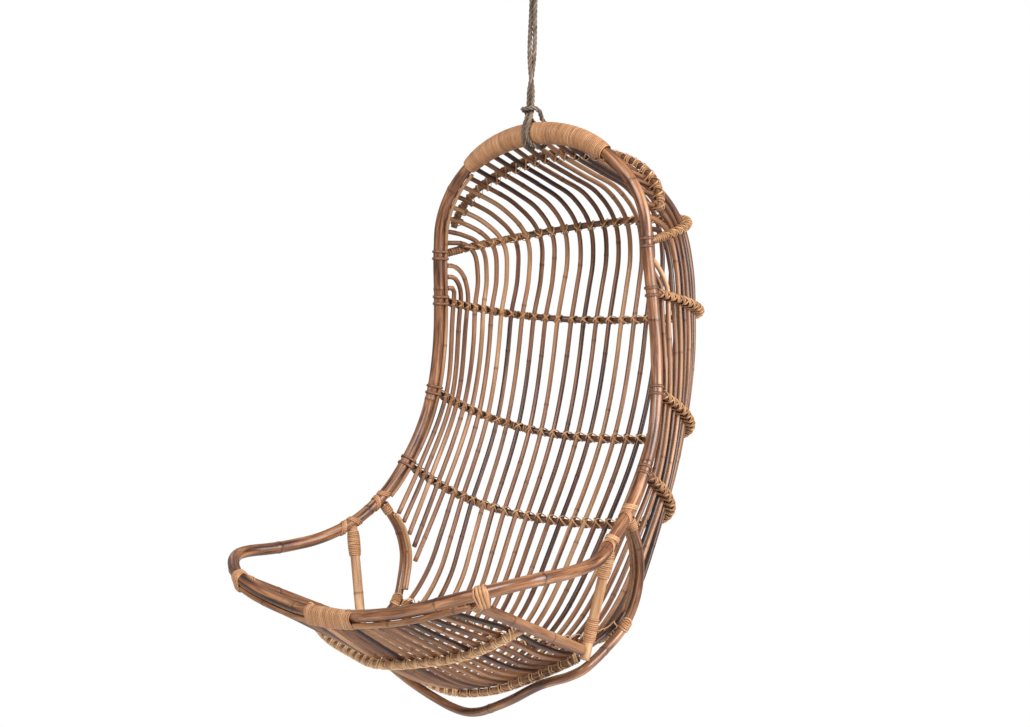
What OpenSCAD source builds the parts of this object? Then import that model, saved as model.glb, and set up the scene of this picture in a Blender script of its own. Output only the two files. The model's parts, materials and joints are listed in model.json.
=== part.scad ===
// Hanging egg chair of bent rattan poles and canes, hung from a ceiling ring by a doubled rope.
// The origin is the centre of the ceiling plate's top face, +Z is up and the sitter looks along -Y.
// A place on the chair is given as [half-width, depth, drop]: the distance from the middle plane,
// the distance behind the hang line, and the distance below the centre of the arch's top.
// Left and right are as seen from the front.

/* [Hanging] */
// From the ceiling down to the centre of the arch's top
hang_drop = 450; // [430:1:900]
// How far the chair leans back under the rope, in degrees
lean_back = 2.5; // [0:0.5:5]
// How far in front of the arch's centre the rope comes down
rope_ahead = 14; // [12:1:16]
// Diameter of the rope
rope_d = 10; // [6:0.5:12]
// Diameter of the ceiling plate
plate_d = 80; // [70:1:140]
// Thickness of the ceiling plate
plate_t = 4; // [3:0.5:8]
// Diameter of the circle of screw holes in the plate
screw_circle_d = 60; // [54:1:62]
// Diameter of a screw hole
screw_hole_d = 5.5; // [3:0.1:6.5]
// Thickness of the steel in the ceiling ring and in the hook
steel_d = 8; // [6:0.5:9]
// Inner diameter of the ceiling ring
ring_inner_d = 26; // [22:1:32]
// Inner diameter of each bow of the hook
bow_inner_d = 26; // [24:1:32]

/* [Canes] */
// Diameter of the rim pole
rim_d = 25; // [20:0.5:28]
// Diameter of a rib
rib_d = 11; // [7:0.5:11]
// Diameter of a hoop
hoop_d = 15; // [10:0.5:16]
// Diameter of the base loop, which runs under the seat and up both sides
base_d = 19; // [14:0.5:21]
// Diameter of the thin canes beside the base loop's side arcs
companion_d = 8; // [6:0.5:9]
// Diameter of the liner cane along the inside of the rim
liner_d = 8; // [5:0.5:9]
// Diameter of an arm post
post_d = 21; // [16:0.5:23]
// Diameter of a front brace
brace_d = 22; // [16:0.5:24]
// Diameter of the thin cane under the front rail
front_cane_d = 12; // [8:0.5:13]
// Gap that is left where one piece lies against another
clearance = 0.3; // [0.2:0.05:0.5]

/* [Arch] */
// Half of the arch's width, between pole centres
arch_half_w = 294; // [270:1:320]
// Rise of the arch from its springing to its top
arch_rise = 225; // [200:1:250]
// Thickness of the padded binding at the arch's top
wrap_mid_d = 48; // [46:0.5:54]
// Thickness of the padded binding at its ends
wrap_end_d = 31; // [30:0.5:36]
// How far round the arch the binding reaches on each side, in degrees from the top
wrap_angle = 41; // [36:1:46]
// Thickness of the peel that is wound on as binding
peel_t = 1.5; // [1:0.1:2]

/* [Rim] */
// Rim at hoop 2's tie: half-width, depth, drop
rim_hoop_2 = [295, 12, 245]; // [0:1:1300]
// Rim at hoop 3's tie
rim_hoop_3 = [301, 20, 345]; // [0:1:1300]
// Rim between the ties of hoops 3 and 4
rim_shoulder = [309, 24, 450]; // [0:1:1300]
// Rim at hoop 4's tie
rim_hoop_4 = [318, 15, 546]; // [0:1:1300]
// Rim between the ties of hoops 4 and 5
rim_waist = [328, -7, 626]; // [-100:1:1300]
// Rim at hoop 5's tie
rim_hoop_5 = [337, -51, 706]; // [-100:1:1300]
// Rim where the base loop's side arc starts
rim_arc = [349, -118, 786]; // [-200:1:1300]
// Rim at the top of the arm post
rim_post = [364, -188, 836]; // [-300:1:1300]
// Arm rest, first third
rim_arm_rear = [387, -250, 864]; // [-400:1:1300]
// Arm rest, second third
rim_arm_mid = [405, -355, 881]; // [-500:1:1300]
// Front corner of the arm rest
rim_corner = [409, -468, 888]; // [-600:1:1300]
// Rim at the top of the front brace
rim_brace = [330, -543, 915]; // [-600:1:1300]
// Front rail, half-way in
rim_rail = [158, -574, 958]; // [-600:1:1300]
// Front rail in the middle
rim_front = [0, -584, 972]; // [-600:1:1300]

/* [Hoops] */
// Hoop 1: depth of its ends, and depth and drop of its top
hoop_1 = [58, 106, 28]; // [0:1:300]
// Hoop 2: how far it reaches behind its ties, and its drop in the middle
hoop_2 = [358, 158]; // [0:1:500]
// Hoop 3, the same
hoop_3 = [337, 388]; // [0:1:500]
// Hoop 4, the same
hoop_4 = [269, 658]; // [0:1:900]
// Hoop 5, the same
hoop_5 = [231, 841]; // [0:1:900]
// Squareness of hoop 2 in plan, where 2 is an ellipse
hoop_2_square = 2; // [1.8:0.1:2.6]
// Squareness of hoops 3 to 5
hoop_square = 2.6; // [2:0.1:3]

/* [Braces] */
// Place that the top of a front brace points at
brace_top_at = [318, -541, 927]; // [-600:1:1300]
// How far above its foot the arm post takes the brace
brace_lift = 15; // [13:0.5:25]
// Length of the binding at the top of an arm post
post_wrap_top = 52; // [20:1:80]
// Length of the binding at the foot of the right arm post
post_wrap_foot = 46; // [20:1:80]
// Length of the binding in the middle of the front rail
front_wrap_length = 130; // [60:1:200]
// Length of the binding at each end of the front cane
front_tie_length = 22; // [10:1:24]

/* [Base and seat] */
// Base loop, top of the side arc
arc_top = [339, -74, 850]; // [-200:1:1300]
// Base loop, middle of the side arc
arc_mid = [333, -60, 912]; // [-200:1:1300]
// Base loop, lower part of the side arc
arc_low = [330, -70, 962]; // [-200:1:1300]
// Base loop at the rear seat hoop's tie
arc_foot = [322, -94, 1011]; // [-200:1:1300]
// Base loop between that tie and the arm post
base_side = [318, -150, 1053]; // [-300:1:1300]
// Base loop under the arm post
base_post = [308, -209, 1089]; // [-300:1:1300]
// Base loop, a third of the way under the seat
base_outer = [215, -224, 1125]; // [-300:1:1300]
// Base loop, two thirds of the way
base_inner = [110, -218, 1174]; // [-300:1:1300]
// Base loop in the middle
base_mid = [0, -208, 1205]; // [-300:1:1300]
// Rear seat hoop, outer third
rear_outer = [203, -14, 1055]; // [-100:1:1300]
// Rear seat hoop, inner third
rear_inner = [102, -18, 1076]; // [-100:1:1300]
// Rear seat hoop in the middle
rear_mid = [0, -26, 1088]; // [-100:1:1300]
// Middle seat hoop, outer third
mid_outer = [195, -216, 1112]; // [-300:1:1300]
// Middle seat hoop, inner third
mid_inner = [97, -234, 1148]; // [-300:1:1300]
// Middle seat hoop in the middle
mid_mid = [0, -245, 1160]; // [-300:1:1300]
// Front seat hoop, outer third
fore_outer = [201, -415, 1047]; // [-500:1:1300]
// Front seat hoop, inner third
fore_inner = [101, -436, 1070]; // [-500:1:1300]
// Front seat hoop in the middle
fore_mid = [0, -458, 1081]; // [-500:1:1300]

/* [Ribs] */
// Ribs on each side of the middle one
side_ribs = 17; // [17:1:17]
// The last rib that starts on the arch; the others start on the liner
last_arch_rib = 14; // [14:1:14]
// The last rib that runs on under the seat; the others end on the side arcs
last_seat_rib = 12; // [12:1:12]
// Rib spacing round the arch
arch_pitch = 28.5; // [26:0.1:29]
// From the rim's centre to the outermost rib, along hoops 3 to 5
edge_gap = 32; // [31:0.5:40]
// How much wider the ribs lie in the middle of hoops 1 to 5, where 0 is evenly spaced
crowding = [0, 0.03, 0.27, 0.33, 0.25]; // [0:0.01:0.4]
// Rib spacing along the rear seat hoop
rear_pitch = 27.5; // [24:0.1:28]
// Rib spacing along the middle seat hoop
middle_pitch = 25.8; // [22:0.1:26.5]
// Rib spacing along the front seat hoop
fore_pitch = 25.5; // [22:0.1:26]
// Rib spacing along the front cane
front_pitch = 24.5; // [20:0.1:25]

/* [Hidden] */
$fn = 48;

pole_sides = 10;
hoop_sides = 8;
cane_sides = 6;
wrap_sides = 12;
rope_sides = 8;
pole_step = 46;
hoop_step = 36;
rib_step = 95;
curl_step = 44;
rope_step = 13;
bow_steps = 10;
wrap_steps = 8;
arch_steps = 5;
rim_r = rim_d / 2;
rib_r = rib_d / 2;
hoop_r = hoop_d / 2;
base_r = base_d / 2;
rope_r = rope_d / 2;
hoop_1_edge = 14;
hoop_1_rise = 54;
hoop_1_bare = 2;
hoop_2_edge = 84;
middle_lift = 8;
collar_length = 26;
end_band_w = 5;
lashing_t = 2;
liner_back = 0.45;
front_start = 8;
first_curl = 0.10;
curls_reach = 0.50;
twine_t = 2;
slope_room = 0.6;
straight_run = 8;
straight_share = 0.05;
curl_run = 12;
ring_neck = 5;
bow_sweep = 290;
ring_bar_drop = plate_t + ring_neck + ring_inner_d + 1.5 * steel_d;
hook_top_drop = ring_bar_drop - steel_d - clearance;
bar_drop = hook_top_drop + 2 * (bow_inner_d + steel_d);

function rib_name(k) = str("rib_", k < 10 ? "0" : "", k);
function unit(v) = v / norm(v);
function last(a) = a[len(a) - 1];
function flip(p) = [-p[0], p[1], p[2]];
function reversed(a) = [for (i = [len(a) - 1 : -1 : 0]) a[i]];
// A direction, and a place given as [half-width, depth, drop], on the chair as it hangs.
function leant(v) =
    let (c = cos(lean_back), s = sin(lean_back))
    [v[0], v[1] * c - v[2] * s, v[1] * s + v[2] * c];
function place(p) = leant([p[0], p[1], -p[2]]) + [0, rope_ahead, -hang_drop];
chair_up = leant([0, 0, 1]);
// Both halves of a curve whose half runs from the middle plane outwards.
function both_sides(half) =
    concat([for (p = reversed(half)) flip(p)], [for (i = [1 : len(half) - 1]) half[i]]);

// ---- curves ----
function slope(P, i) = (P[i + 1] - P[i]) / norm(P[i + 1] - P[i]);
function tangent(P, i) =
    i == 0 ? slope(P, 0)
    : i == len(P) - 1 ? slope(P, i - 1)
    : let (a = norm(P[i] - P[i - 1]), b = norm(P[i + 1] - P[i]))
      (slope(P, i - 1) * b + slope(P, i) * a) / (a + b);
// The middle point of a mirrored curve runs straight across the middle plane.
function level(t) = [t[0] < 0 ? -1 : 1, 0, 0];
function hermite(a, b, ta, tb, h, t) =
    a * (1 + t * t * (2 * t - 3)) + b * t * t * (3 - 2 * t)
    + ta * h * t * (1 - t) * (1 - t) - tb * h * t * t * (1 - t);
// A smooth curve through P with a point about every step; it runs straight across the middle plane where
// its first or its last point lies on it.
function smooth(P, step, mid_first = false, mid_last = false) = [
    for (i = [0 : len(P) - 2])
        let (
            h = norm(P[i + 1] - P[i]),
            n = max(1, ceil(h / step)),
            ta = mid_first && i == 0 ? level(slope(P, 0)) : tangent(P, i),
            tb = mid_last && i == len(P) - 2 ? level(slope(P, i)) : tangent(P, i + 1)
        )
        for (j = [0 : i == len(P) - 2 ? n : n - 1]) hermite(P[i], P[i + 1], ta, tb, h, j / n)
];
function lengths(path) = [for (i = 0, s = 0; i < len(path);
    s = s + (i < len(path) - 1 ? norm(path[i + 1] - path[i]) : 0), i = i + 1) s];
function total(path) = last(lengths(path));
// The point at distance s along a path, and the direction there.
function along(path, s) =
    let (L = lengths(path))
    [for (c = [0 : 2]) lookup(s, [for (i = [0 : len(path) - 1]) [L[i], path[i][c]]])];
function heading(path, s) =
    let (e = 2, T = total(path))
    unit(along(path, min(T, s + e)) - along(path, max(0, s - e)));
function end_heading(path) = heading(path, total(path));
// The stretch of a path from s0 to s1, with its own end points.
function stretch(path, s0, s1) =
    let (L = lengths(path))
    concat(
        [along(path, s0)],
        [for (i = [0 : len(path) - 1]) if (L[i] > s0 + 4 && L[i] < s1 - 4) path[i]],
        [along(path, s1)]
    );
// How far a cane of radius r, coming along d, stops from the centre of a pole of radius R that runs along t.
function butt(t, d, R, r) =
    let (lean = abs(unit(t) * unit(d)))
    (R + clearance + r * lean) / sqrt(1 - lean * lean);

// The distance along a path at which it passes nearest to a place.
function nearest(path, p) =
    let (L = lengths(path), D = [for (q = path) norm(q - p)], m = min(D))
    [for (i = [0 : len(path) - 1]) if (D[i] == m) L[i]][0];
// A bore round a pole, wide enough where the pole's sides are flat.
function bore(r) = (r + clearance) / cos(180 / wrap_sides);

// ---- swept solids ----
function headings(P) = [for (i = [0 : len(P) - 1])
    unit(P[min(i + 1, len(P) - 1)] - P[max(i - 1, 0)])];
function squared(u, t) = unit(u - (u * t) * t);
// Directions across a path that turn as little as they can, starting from up.
function sides_of(T, up) = [for (i = 0, u = squared(up, T[0]); i < len(T);
    u = squared(u, T[min(i + 1, len(T) - 1)]), i = i + 1) u];
function rings(P, R, n, up) =
    let (T = headings(P), U = sides_of(T, up))
    [for (i = [0 : len(P) - 1]) let (v = cross(T[i], U[i])) for (k = [0 : n - 1])
        P[i] + (is_list(R) ? R[i] : R) * (cos(360 * k / n) * U[i] + sin(360 * k / n) * v)];
function wall(m, n, at = 0, out = true) = [for (i = [0 : m - 2]) for (k = [0 : n - 1])
    let (a = at + i * n + k, b = at + i * n + (k + 1) % n, c = b + n, d = a + n)
    each out ? [[a, c, b], [a, d, c]] : [[a, b, c], [a, c, d]]];
module tube(P, R, n, up = [0, 1, 0]) {
    m = len(P);
    polyhedron(
        rings(P, R, n, up),
        concat(
            wall(m, n),
            [[for (k = [0 : n - 1]) k]],
            [[for (k = [n - 1 : -1 : 0]) (m - 1) * n + k]]
        )
    );
}
// A sleeve round a path: outer radii R, inner radii r.
function sleeve_faces(m, n) = let (rim = m * n, e = (m - 1) * n) concat(
    wall(m, n),
    wall(m, n, rim, false),
    [for (k = [0 : n - 1]) let (j = (k + 1) % n) each [[k, j, rim + j], [k, rim + j, rim + k]]],
    [for (k = [0 : n - 1]) let (j = (k + 1) % n)
        each [[e + k, rim + e + j, e + j], [e + k, rim + e + k, rim + e + j]]]
);
module sleeve(P, R, r, n, up = [0, 1, 0]) {
    polyhedron(concat(rings(P, R, n, up), rings(P, r, n, up)), sleeve_faces(len(P), n));
}
// Children drawn along +Z are turned to lie along d, at point p.
module aim(p, d) {
    turn = acos(unit(d)[2]);
    axis = cross([0, 0, 1], unit(d));
    translate(p)
        rotate(a = turn, v = norm(axis) < 1e-6 ? [1, 0, 0] : axis)
            children();
}
module rod(a, b, d) {
    aim(a, b - a)
        cylinder(h = norm(b - a), d = d);
}
// A sleeve round two parallel poles, the second below the first: radii R and r are [upper, lower] pairs.
function oval(P, R, below, n) =
    let (T = headings(P))
    [for (i = [0 : len(P) - 1]) let (up = squared(chair_up, T[i]), v = cross(T[i], up)) for (k = [0 : n - 1])
        let (d = cos(360 * k / n) * up + sin(360 * k / n) * v, lower = R[1] - below * d * up > R[0])
        P[i] + (lower ? R[1] * d - below * up : R[0] * d)];
module oval_sleeve(P, R, r, below, n) {
    m = len(P);
    polyhedron(concat(oval(P, R, below, n), oval(P, r, below, n)), sleeve_faces(m, n));
}
module band(p, d, inner_r, outer_r, width) {
    aim(p, d)
        difference() {
            cylinder(h = width, r = outer_r, center = true);
            cylinder(h = width + 2, r = inner_r, center = true);
        }
}
module both() {
    children();
    mirror([1, 0, 0])
        children();
}

// ---- the chair's curves ----
function arch_point(a) = place([arch_half_w * sin(a), 1 + (rim_hoop_2[1] - 1) * (1 - cos(a)),
    arch_rise * (1 - cos(a))]);
wrap_half = [for (i = [0 : wrap_steps]) arch_point(wrap_angle * i / wrap_steps)];
wrap_reach = total(wrap_half);
function wrap_radius(s) = s > wrap_reach ? rim_r
    : let (q = s / wrap_reach) (wrap_end_d + (wrap_mid_d - wrap_end_d) * sqrt(1 - q * q)) / 2;
wrap_path = both_sides(wrap_half);
wrap_radii = [for (i = [-wrap_steps : wrap_steps]) wrap_radius(lengths(wrap_half)[abs(i)])];
arch_half = concat(
    wrap_half,
    [for (i = [1 : arch_steps]) arch_point(wrap_angle + (90 - wrap_angle) * i / arch_steps)]
);
rim_stations = concat(
    arch_half,
    [for (p = [rim_hoop_2, rim_hoop_3, rim_shoulder, rim_hoop_4, rim_waist, rim_hoop_5, rim_arc,
        rim_post, rim_arm_rear, rim_arm_mid, rim_corner, rim_brace, rim_rail, rim_front]) place(p)]
);
rim_half = smooth(rim_stations, pole_step, true, true);
rim_length = total(rim_half);
function rim_at(p) = nearest(rim_half, place(p));

// Hoops 2 to 5 leave the rim at their ties and bow out to the rear.
function bow(tie, shape, square) = [for (i = [0 : bow_steps])
    let (a = 90 * i / bow_steps, q = pow(cos(a), 2 / square))
    place([tie[0] * pow(sin(a), 2 / square), tie[1] + shape[0] * q, tie[2] + (shape[1] - tie[2]) * q])];
// Hoop 1 arches over the sitter's head and ends a little above hoop 2.
function hoop_2_q(y) = (y - rim_hoop_2[1]) / hoop_2[0];
function hoop_2_x(y) = rim_hoop_2[0] * pow(1 - pow(hoop_2_q(y), hoop_2_square), 1 / hoop_2_square);
function hoop_2_drop(y) = rim_hoop_2[2] + (hoop_2[1] - rim_hoop_2[2]) * hoop_2_q(y);
hoop_1_foot = [hoop_2_x(hoop_1[0]), hoop_1[0], hoop_2_drop(hoop_1[0]) - hoop_1_rise];
function hoop_1_half() = [for (i = [0 : bow_steps]) let (a = 90 * i / bow_steps)
    place([hoop_1_foot[0] * sin(a), hoop_1_foot[1] + (hoop_1[1] - hoop_1_foot[1]) * cos(a),
        hoop_1_foot[2] + (hoop_1[2] - hoop_1_foot[2]) * cos(a)])];
hoop_halves = [
    [],
    hoop_1_half(),
    bow(rim_hoop_2, hoop_2, hoop_2_square),
    bow(rim_hoop_3, hoop_3, hoop_square),
    bow(rim_hoop_4, hoop_4, hoop_square),
    bow(rim_hoop_5, hoop_5, hoop_square)
];
hoop_ties = [0, 0, rim_hoop_2, rim_hoop_3, rim_hoop_4, rim_hoop_5];
// A half hoop, cut back so that its end stops at the surface of the pole that it is tied to.
function cut_back(half, t, R, r) =
    let (T = total(half), d = heading(half, T - R))
    stretch(half, 0, T - butt(t, d, R, r));
function hoop_cut(k) = k == 1 ? hoop_halves[1]
    : cut_back(hoop_halves[k], heading(rim_half, rim_at(hoop_ties[k])), rim_r, hoop_r);

// The base loop runs under the seat and up both sides to the rim.
arc_way = unit(place(arc_top) - place(rim_arc));
arc_stop = place(rim_arc) + arc_way * butt(heading(rim_half, rim_at(rim_arc)), arc_way, rim_r, base_r);
base_half = smooth(
    concat(
        [for (p = [base_mid, base_inner, base_outer, base_post, base_side, arc_foot, arc_low,
            arc_mid, arc_top]) place(p)],
        [arc_stop]
    ),
    pole_step, true
);
foot_at = nearest(base_half, place(arc_foot));
companion_path = stretch(base_half, foot_at + 1.5 * base_d, total(base_half) - collar_length - 2);
companion_flat = companion_d / 2 * cos(180 / cane_sides);
companion_offset = [for (k = [0, 1]) base_r + (k + 1) * clearance + (2 * k + 1) * companion_flat];

// Each arm post stands on the base loop under the rim.
post_way = unit(place(rim_post) - place(base_post));
post_top = place(rim_post)
    - post_way * butt(heading(rim_half, rim_at(rim_post)), post_way, rim_r, post_d / 2);
post_foot = place(base_post)
    + post_way * butt(heading(base_half, nearest(base_half, place(base_post))), post_way, base_r, post_d / 2);

function under(path, gap) = let (T = headings(path))
    [for (i = [0 : len(path) - 1]) path[i] - gap * squared(chair_up, T[i])];
// The front cane follows the rim's underside between the braces' tops.
front_drop = rim_r + clearance + front_cane_d / 2;
front_stretch = stretch(rim_half, rim_at(rim_brace) + front_start, rim_length);
front_half = under(reversed(front_stretch), front_drop);

// Each front brace runs from the foot of its arm post to the front rail.
brace_socket = post_foot + post_way * brace_lift;
brace_way = unit(place(brace_top_at) - brace_socket);
brace_foot = brace_socket + brace_way * butt(post_way, brace_way, post_d / 2, brace_d / 2);
function reach_to(pole, R) = (pole - brace_socket) * brace_way - R - 2 * clearance;
brace_top = brace_socket + brace_way * min(
    reach_to(along(rim_half, rim_at(rim_brace)), rim_r),
    reach_to(front_half[len(front_half) - 1], front_cane_d / 2)
);

// The seat hoops hang between the two sides.
rear_half = smooth([for (p = [rear_mid, rear_inner, rear_outer, arc_foot]) place(p)], hoop_step, true);
rear_cut = cut_back(rear_half, heading(base_half, foot_at), base_r, hoop_r);
middle_half = smooth(
    concat([for (p = [mid_mid, mid_inner, mid_outer]) place(p)], [post_foot + post_way * middle_lift]),
    hoop_step, true
);
middle_cut = cut_back(middle_half, post_way, post_d / 2, hoop_r);
fore_half = smooth(
    concat([for (p = [fore_mid, fore_inner, fore_outer]) place(p)], [(brace_top + brace_foot) / 2]),
    hoop_step, true
);
fore_cut = cut_back(fore_half, brace_way, brace_d / 2, hoop_r);

// The liner lies on the rim's inner, rear side, from one side arc up, over and down to the other.
function beside_way(t) = let (back = leant([0, 1, 0]), turn = acos(liner_back))
    sin(turn) * unit(cross(back, t)) + cos(turn) * squared(back, t);
liner_gap = rim_r + clearance + liner_d / 2;
liner_path = stretch(rim_half, wrap_reach + 10, rim_at(rim_arc) - base_d);
liner_ways = [for (t = headings(liner_path)) beside_way(t)];
liner_half = liner_path + liner_gap * liner_ways;

// ---- ribs ----
hoop_offset = hoop_r + rib_r + clearance;
// The first hoop that a rib crosses.
last_hoop_1_rib = last_arch_rib - hoop_1_bare;
function first_hoop(i) = i <= last_hoop_1_rib ? 1 : i <= last_arch_rib ? 2 : 3;
// Where rib i of n lies along a hoop: the outermost at reach, and the middle ones wider apart.
function spread(reach, i, n, crowd) = let (u = i / n) reach * u * (1 + crowd * (1 - u));
function hoop_place(k, i) = let (T = total(hoop_halves[k]))
    k == 1 ? spread(T - hoop_1_edge, i, last_hoop_1_rib, crowding[0])
    : k == 2 ? spread(T - hoop_2_edge, i, last_arch_rib, crowding[1])
    : spread(T - edge_gap, i, side_ribs, crowding[k - 1]);
// Where rib i crosses each hoop: the point on the hoop's centre and the hoop's heading there.
function crossing(path, s) = [along(path, s), heading(path, s)];
function hoop_crossing(k, i) = crossing(hoop_halves[k], hoop_place(k, i));
function seat_crossing(k, i) =
    k == 0 ? crossing(rear_half, i * rear_pitch)
    : k == 1 ? crossing(middle_half, i * middle_pitch)
    : crossing(fore_half, i * fore_pitch);
function crossings(i) = concat(
    [for (k = [first_hoop(i) : 5]) hoop_crossing(k, i)],
    i <= last_seat_rib ? [for (k = [0 : 2]) seat_crossing(k, i)] : []
);
// The liner carries the ribs that start below hoop 2.
liner_start = rim_at(rim_hoop_2) - wrap_reach - 10;
liner_span = rim_at(rim_hoop_3) - rim_at(rim_hoop_2);
function curl_place(i) =
    let (first = last_arch_rib + 1)
    liner_start + liner_span * (first_curl + curls_reach * (i - first) / (side_ribs - first));
// Where a rib starts and ends: the point on the pole that it meets, the pole's heading and its radius.
function root(i) = i <= last_arch_rib
    ? [along(rim_half, i * arch_pitch), heading(rim_half, i * arch_pitch), wrap_radius(i * arch_pitch)]
    : [along(liner_half, curl_place(i)), heading(liner_half, curl_place(i)), liner_d / 2];
arc_count = side_ribs - last_seat_rib;
function arc_place(i) = total(companion_path) * (1 - pow((side_ribs + 0.5 - i) / arc_count, 1.5));
// The ribs stop at the front cane or, in the middle, at the binding round it.
front_tie_inner = total(front_half) + front_start - brace_d / 2 - peel_t - 2 * clearance - front_tie_length;
function front_reach(x) = x < front_wrap_length / 2 + rib_r || x > front_tie_inner - rib_r
    ? bore(front_cane_d / 2) + peel_t
    : front_cane_d / 2;
function tail(i) = i <= last_seat_rib
    ? [along(front_half, i * front_pitch), heading(front_half, i * front_pitch), front_reach(i * front_pitch)]
    : [along(companion_path, arc_place(i)) - [companion_offset[1], 0, 0],
        heading(companion_path, arc_place(i)), companion_d / 2];
function stopped(end, d) = end[0] + d * butt(end[1], d, end[2], rib_r);
// The ribs that start on the liner set out straight, inwards and to the rear, before they bend.
curl_lead = leant(unit([-0.3, 1, 0]));
function curl(i) = let (start = stopped(root(i), curl_lead)) [start, start + rib_d * curl_lead];
// For each crossing: the hoop's centre, the hoop's heading, the direction from the hoop to the rib and the
// rib's heading, when the rib runs along a line with one point at each crossing. A rib that curls in from
// the liner has come round by its first hoop.
function stacked(C, line, curled) = [for (j = [0 : len(C) - 1])
    let (way = curled && j == 0 ? slope(line, 1) : unit(tangent(line, j + 1)))
    [C[j][0], C[j][1], unit(cross(way, C[j][1])), way]];
function lifted(stacks) = [for (c = stacks) c[0] + hoop_offset * c[2]];
function stacks(i) =
    let (
        C = crossings(i),
        curled = i > last_arch_rib,
        start = [curled ? curl(i)[1] : root(i)[0]],
        end = [tail(i)[0]],
        rough = stacked(C, concat(start, [for (c = C) c[0]], end), curled)
    )
    stacked(C, concat(start, lifted(rough), end), curled);
// A rib runs straight for a little on each side of the hoop at which it bends most.
function rib_knots(i) =
    let (
        S = stacks(i),
        points = lifted(S),
        a = root(i),
        b = tail(i),
        sharpest = i <= last_hoop_1_rib ? 1 : 0,
        run = i > last_arch_rib ? curl_run : min(straight_run, straight_share * norm(points[1] - points[0])),
        mid = [for (j = [0 : len(S) - 1])
            each j == sharpest ? [points[j] - run * S[j][3], points[j] + run * S[j][3]] : [points[j]]]
    )
    concat(
        i <= last_arch_rib ? [stopped(a, unit(mid[0] - a[0]))] : curl(i),
        mid,
        [stopped(b, unit(last(mid) - b[0]))]
    );
function rib_path(i) = smooth(rib_knots(i), i <= last_arch_rib ? rib_step : curl_step);

// ---- ropework ----
strand_x = rope_r + 0.5;
hitch_r = (wrap_mid_d / 2 + 2 * clearance + rope_r) / cos(22.5 / 2);
hitch_out = 14;
hitch_top = 76;
arch_top = [0, wrap_half[0][1], -hang_drop];
strand_y = -arch_top[1];
// A turn round the arch, seen along it: a is the angle from straight up, going down in front.
function turn_x(a) = strand_x + (hitch_out - strand_x) * (1 - cos(180 * min(1, max(0, (a - 100) / 110)))) / 2;
function turn(a) = [turn_x(a), -hitch_r * sin(a), hitch_r * cos(a)];
hitch_half = smooth(
    concat(
        [[0, strand_y - 11.6, 50], [8, strand_y - 11.5, 50.5], [15, strand_y - 7.5, 50.5], [18, -11, 47.5]],
        [turn(340)],
        [for (a = [315 : -22.5 : 67.5]) turn(a)],
        [[strand_x, strand_y - 5, 30], [strand_x, strand_y - 0.6, 48]],
        [for (z = [62, hitch_top]) [strand_x, strand_y, z]]
    ),
    rope_step, true
);
hitch_path = [for (p = both_sides(hitch_half)) arch_top + p];
// The two strands twist round each other by half a turn between the hitch and the seizing.
bight_r = steel_d / 2 + clearance + rope_r;
seizing_drop = bar_drop + 30;
seizing_h = 22;
twist_steps = 12;
fall_end = -hang_drop + hitch_top + clearance;
twist_end = fall_end + rope_d;
twist_start = -seizing_drop - seizing_h - 6;
// One strand from the bight over the hook's bar down to the hitch, and the other half a turn round from it.
function twisted(t) = let (a = -180 * t * (2 - t))
    [-strand_x * cos(a), -strand_x * sin(a), twist_end + (twist_start - twist_end) * t];
fall_half = concat(
    [for (a = [0 : 30 : 90]) [bight_r * sin(a), 0, -bar_drop + bight_r * cos(a)]],
    [[bight_r - 1, 0, -bar_drop - 10], [strand_x + 1, 0, -seizing_drop + 8]],
    [for (z = [0, seizing_h]) [strand_x, 0, -seizing_drop - z]],
    [for (i = [twist_steps : -1 : 0]) twisted(i / twist_steps)],
    [[-strand_x, 0, fall_end]]
);
fall_path = concat(
    [for (p = reversed(fall_half)) [-p[0], -p[1], p[2]]],
    [for (i = [1 : len(fall_half) - 1]) fall_half[i]]
);

// The least gap of a rope to itself, measured between points 2 mm apart that lie over two diameters along it.
function least_gap(path) =
    let (
        n = ceil(total(path) / 2),
        P = [for (i = [0 : n]) along(path, total(path) * i / n)],
        skip = ceil(1.25 * rope_d)
    )
    min([for (i = [0 : n - skip]) for (j = [i + skip : n]) norm(P[i] - P[j])]) - rope_d;
echo("least gap of rope_fall to itself, in mm", least_gap(fall_path));
echo("least gap of rope_hitch to itself, in mm", least_gap(hitch_path));

// ---- the pieces that hang from the ceiling ----
module ceiling_plate() {
    color("silver")
        difference() {
            translate([0, 0, -plate_t])
                cylinder(h = plate_t, d = plate_d);
            for (a = [45 : 90 : 315])
                rotate([0, 0, a])
                    translate([screw_circle_d / 2, 0, -plate_t - 1])
                        cylinder(h = plate_t + 2, d = screw_hole_d);
        }
}
module steel_arc(inner_d, angle) {
    rotate_extrude(angle = angle)
        translate([(inner_d + steel_d) / 2, 0])
            circle(d = steel_d);
}
module ceiling_ring() {
    color("silver") {
        translate([0, 0, -ring_bar_drop + (ring_inner_d + steel_d) / 2])
            rotate([90, 0, 0])
                steel_arc(ring_inner_d, 360);
        translate([0, 0, -plate_t - ring_neck - steel_d / 2])
            cylinder(h = ring_neck + steel_d / 2, d = steel_d - 1);
    }
}
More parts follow.
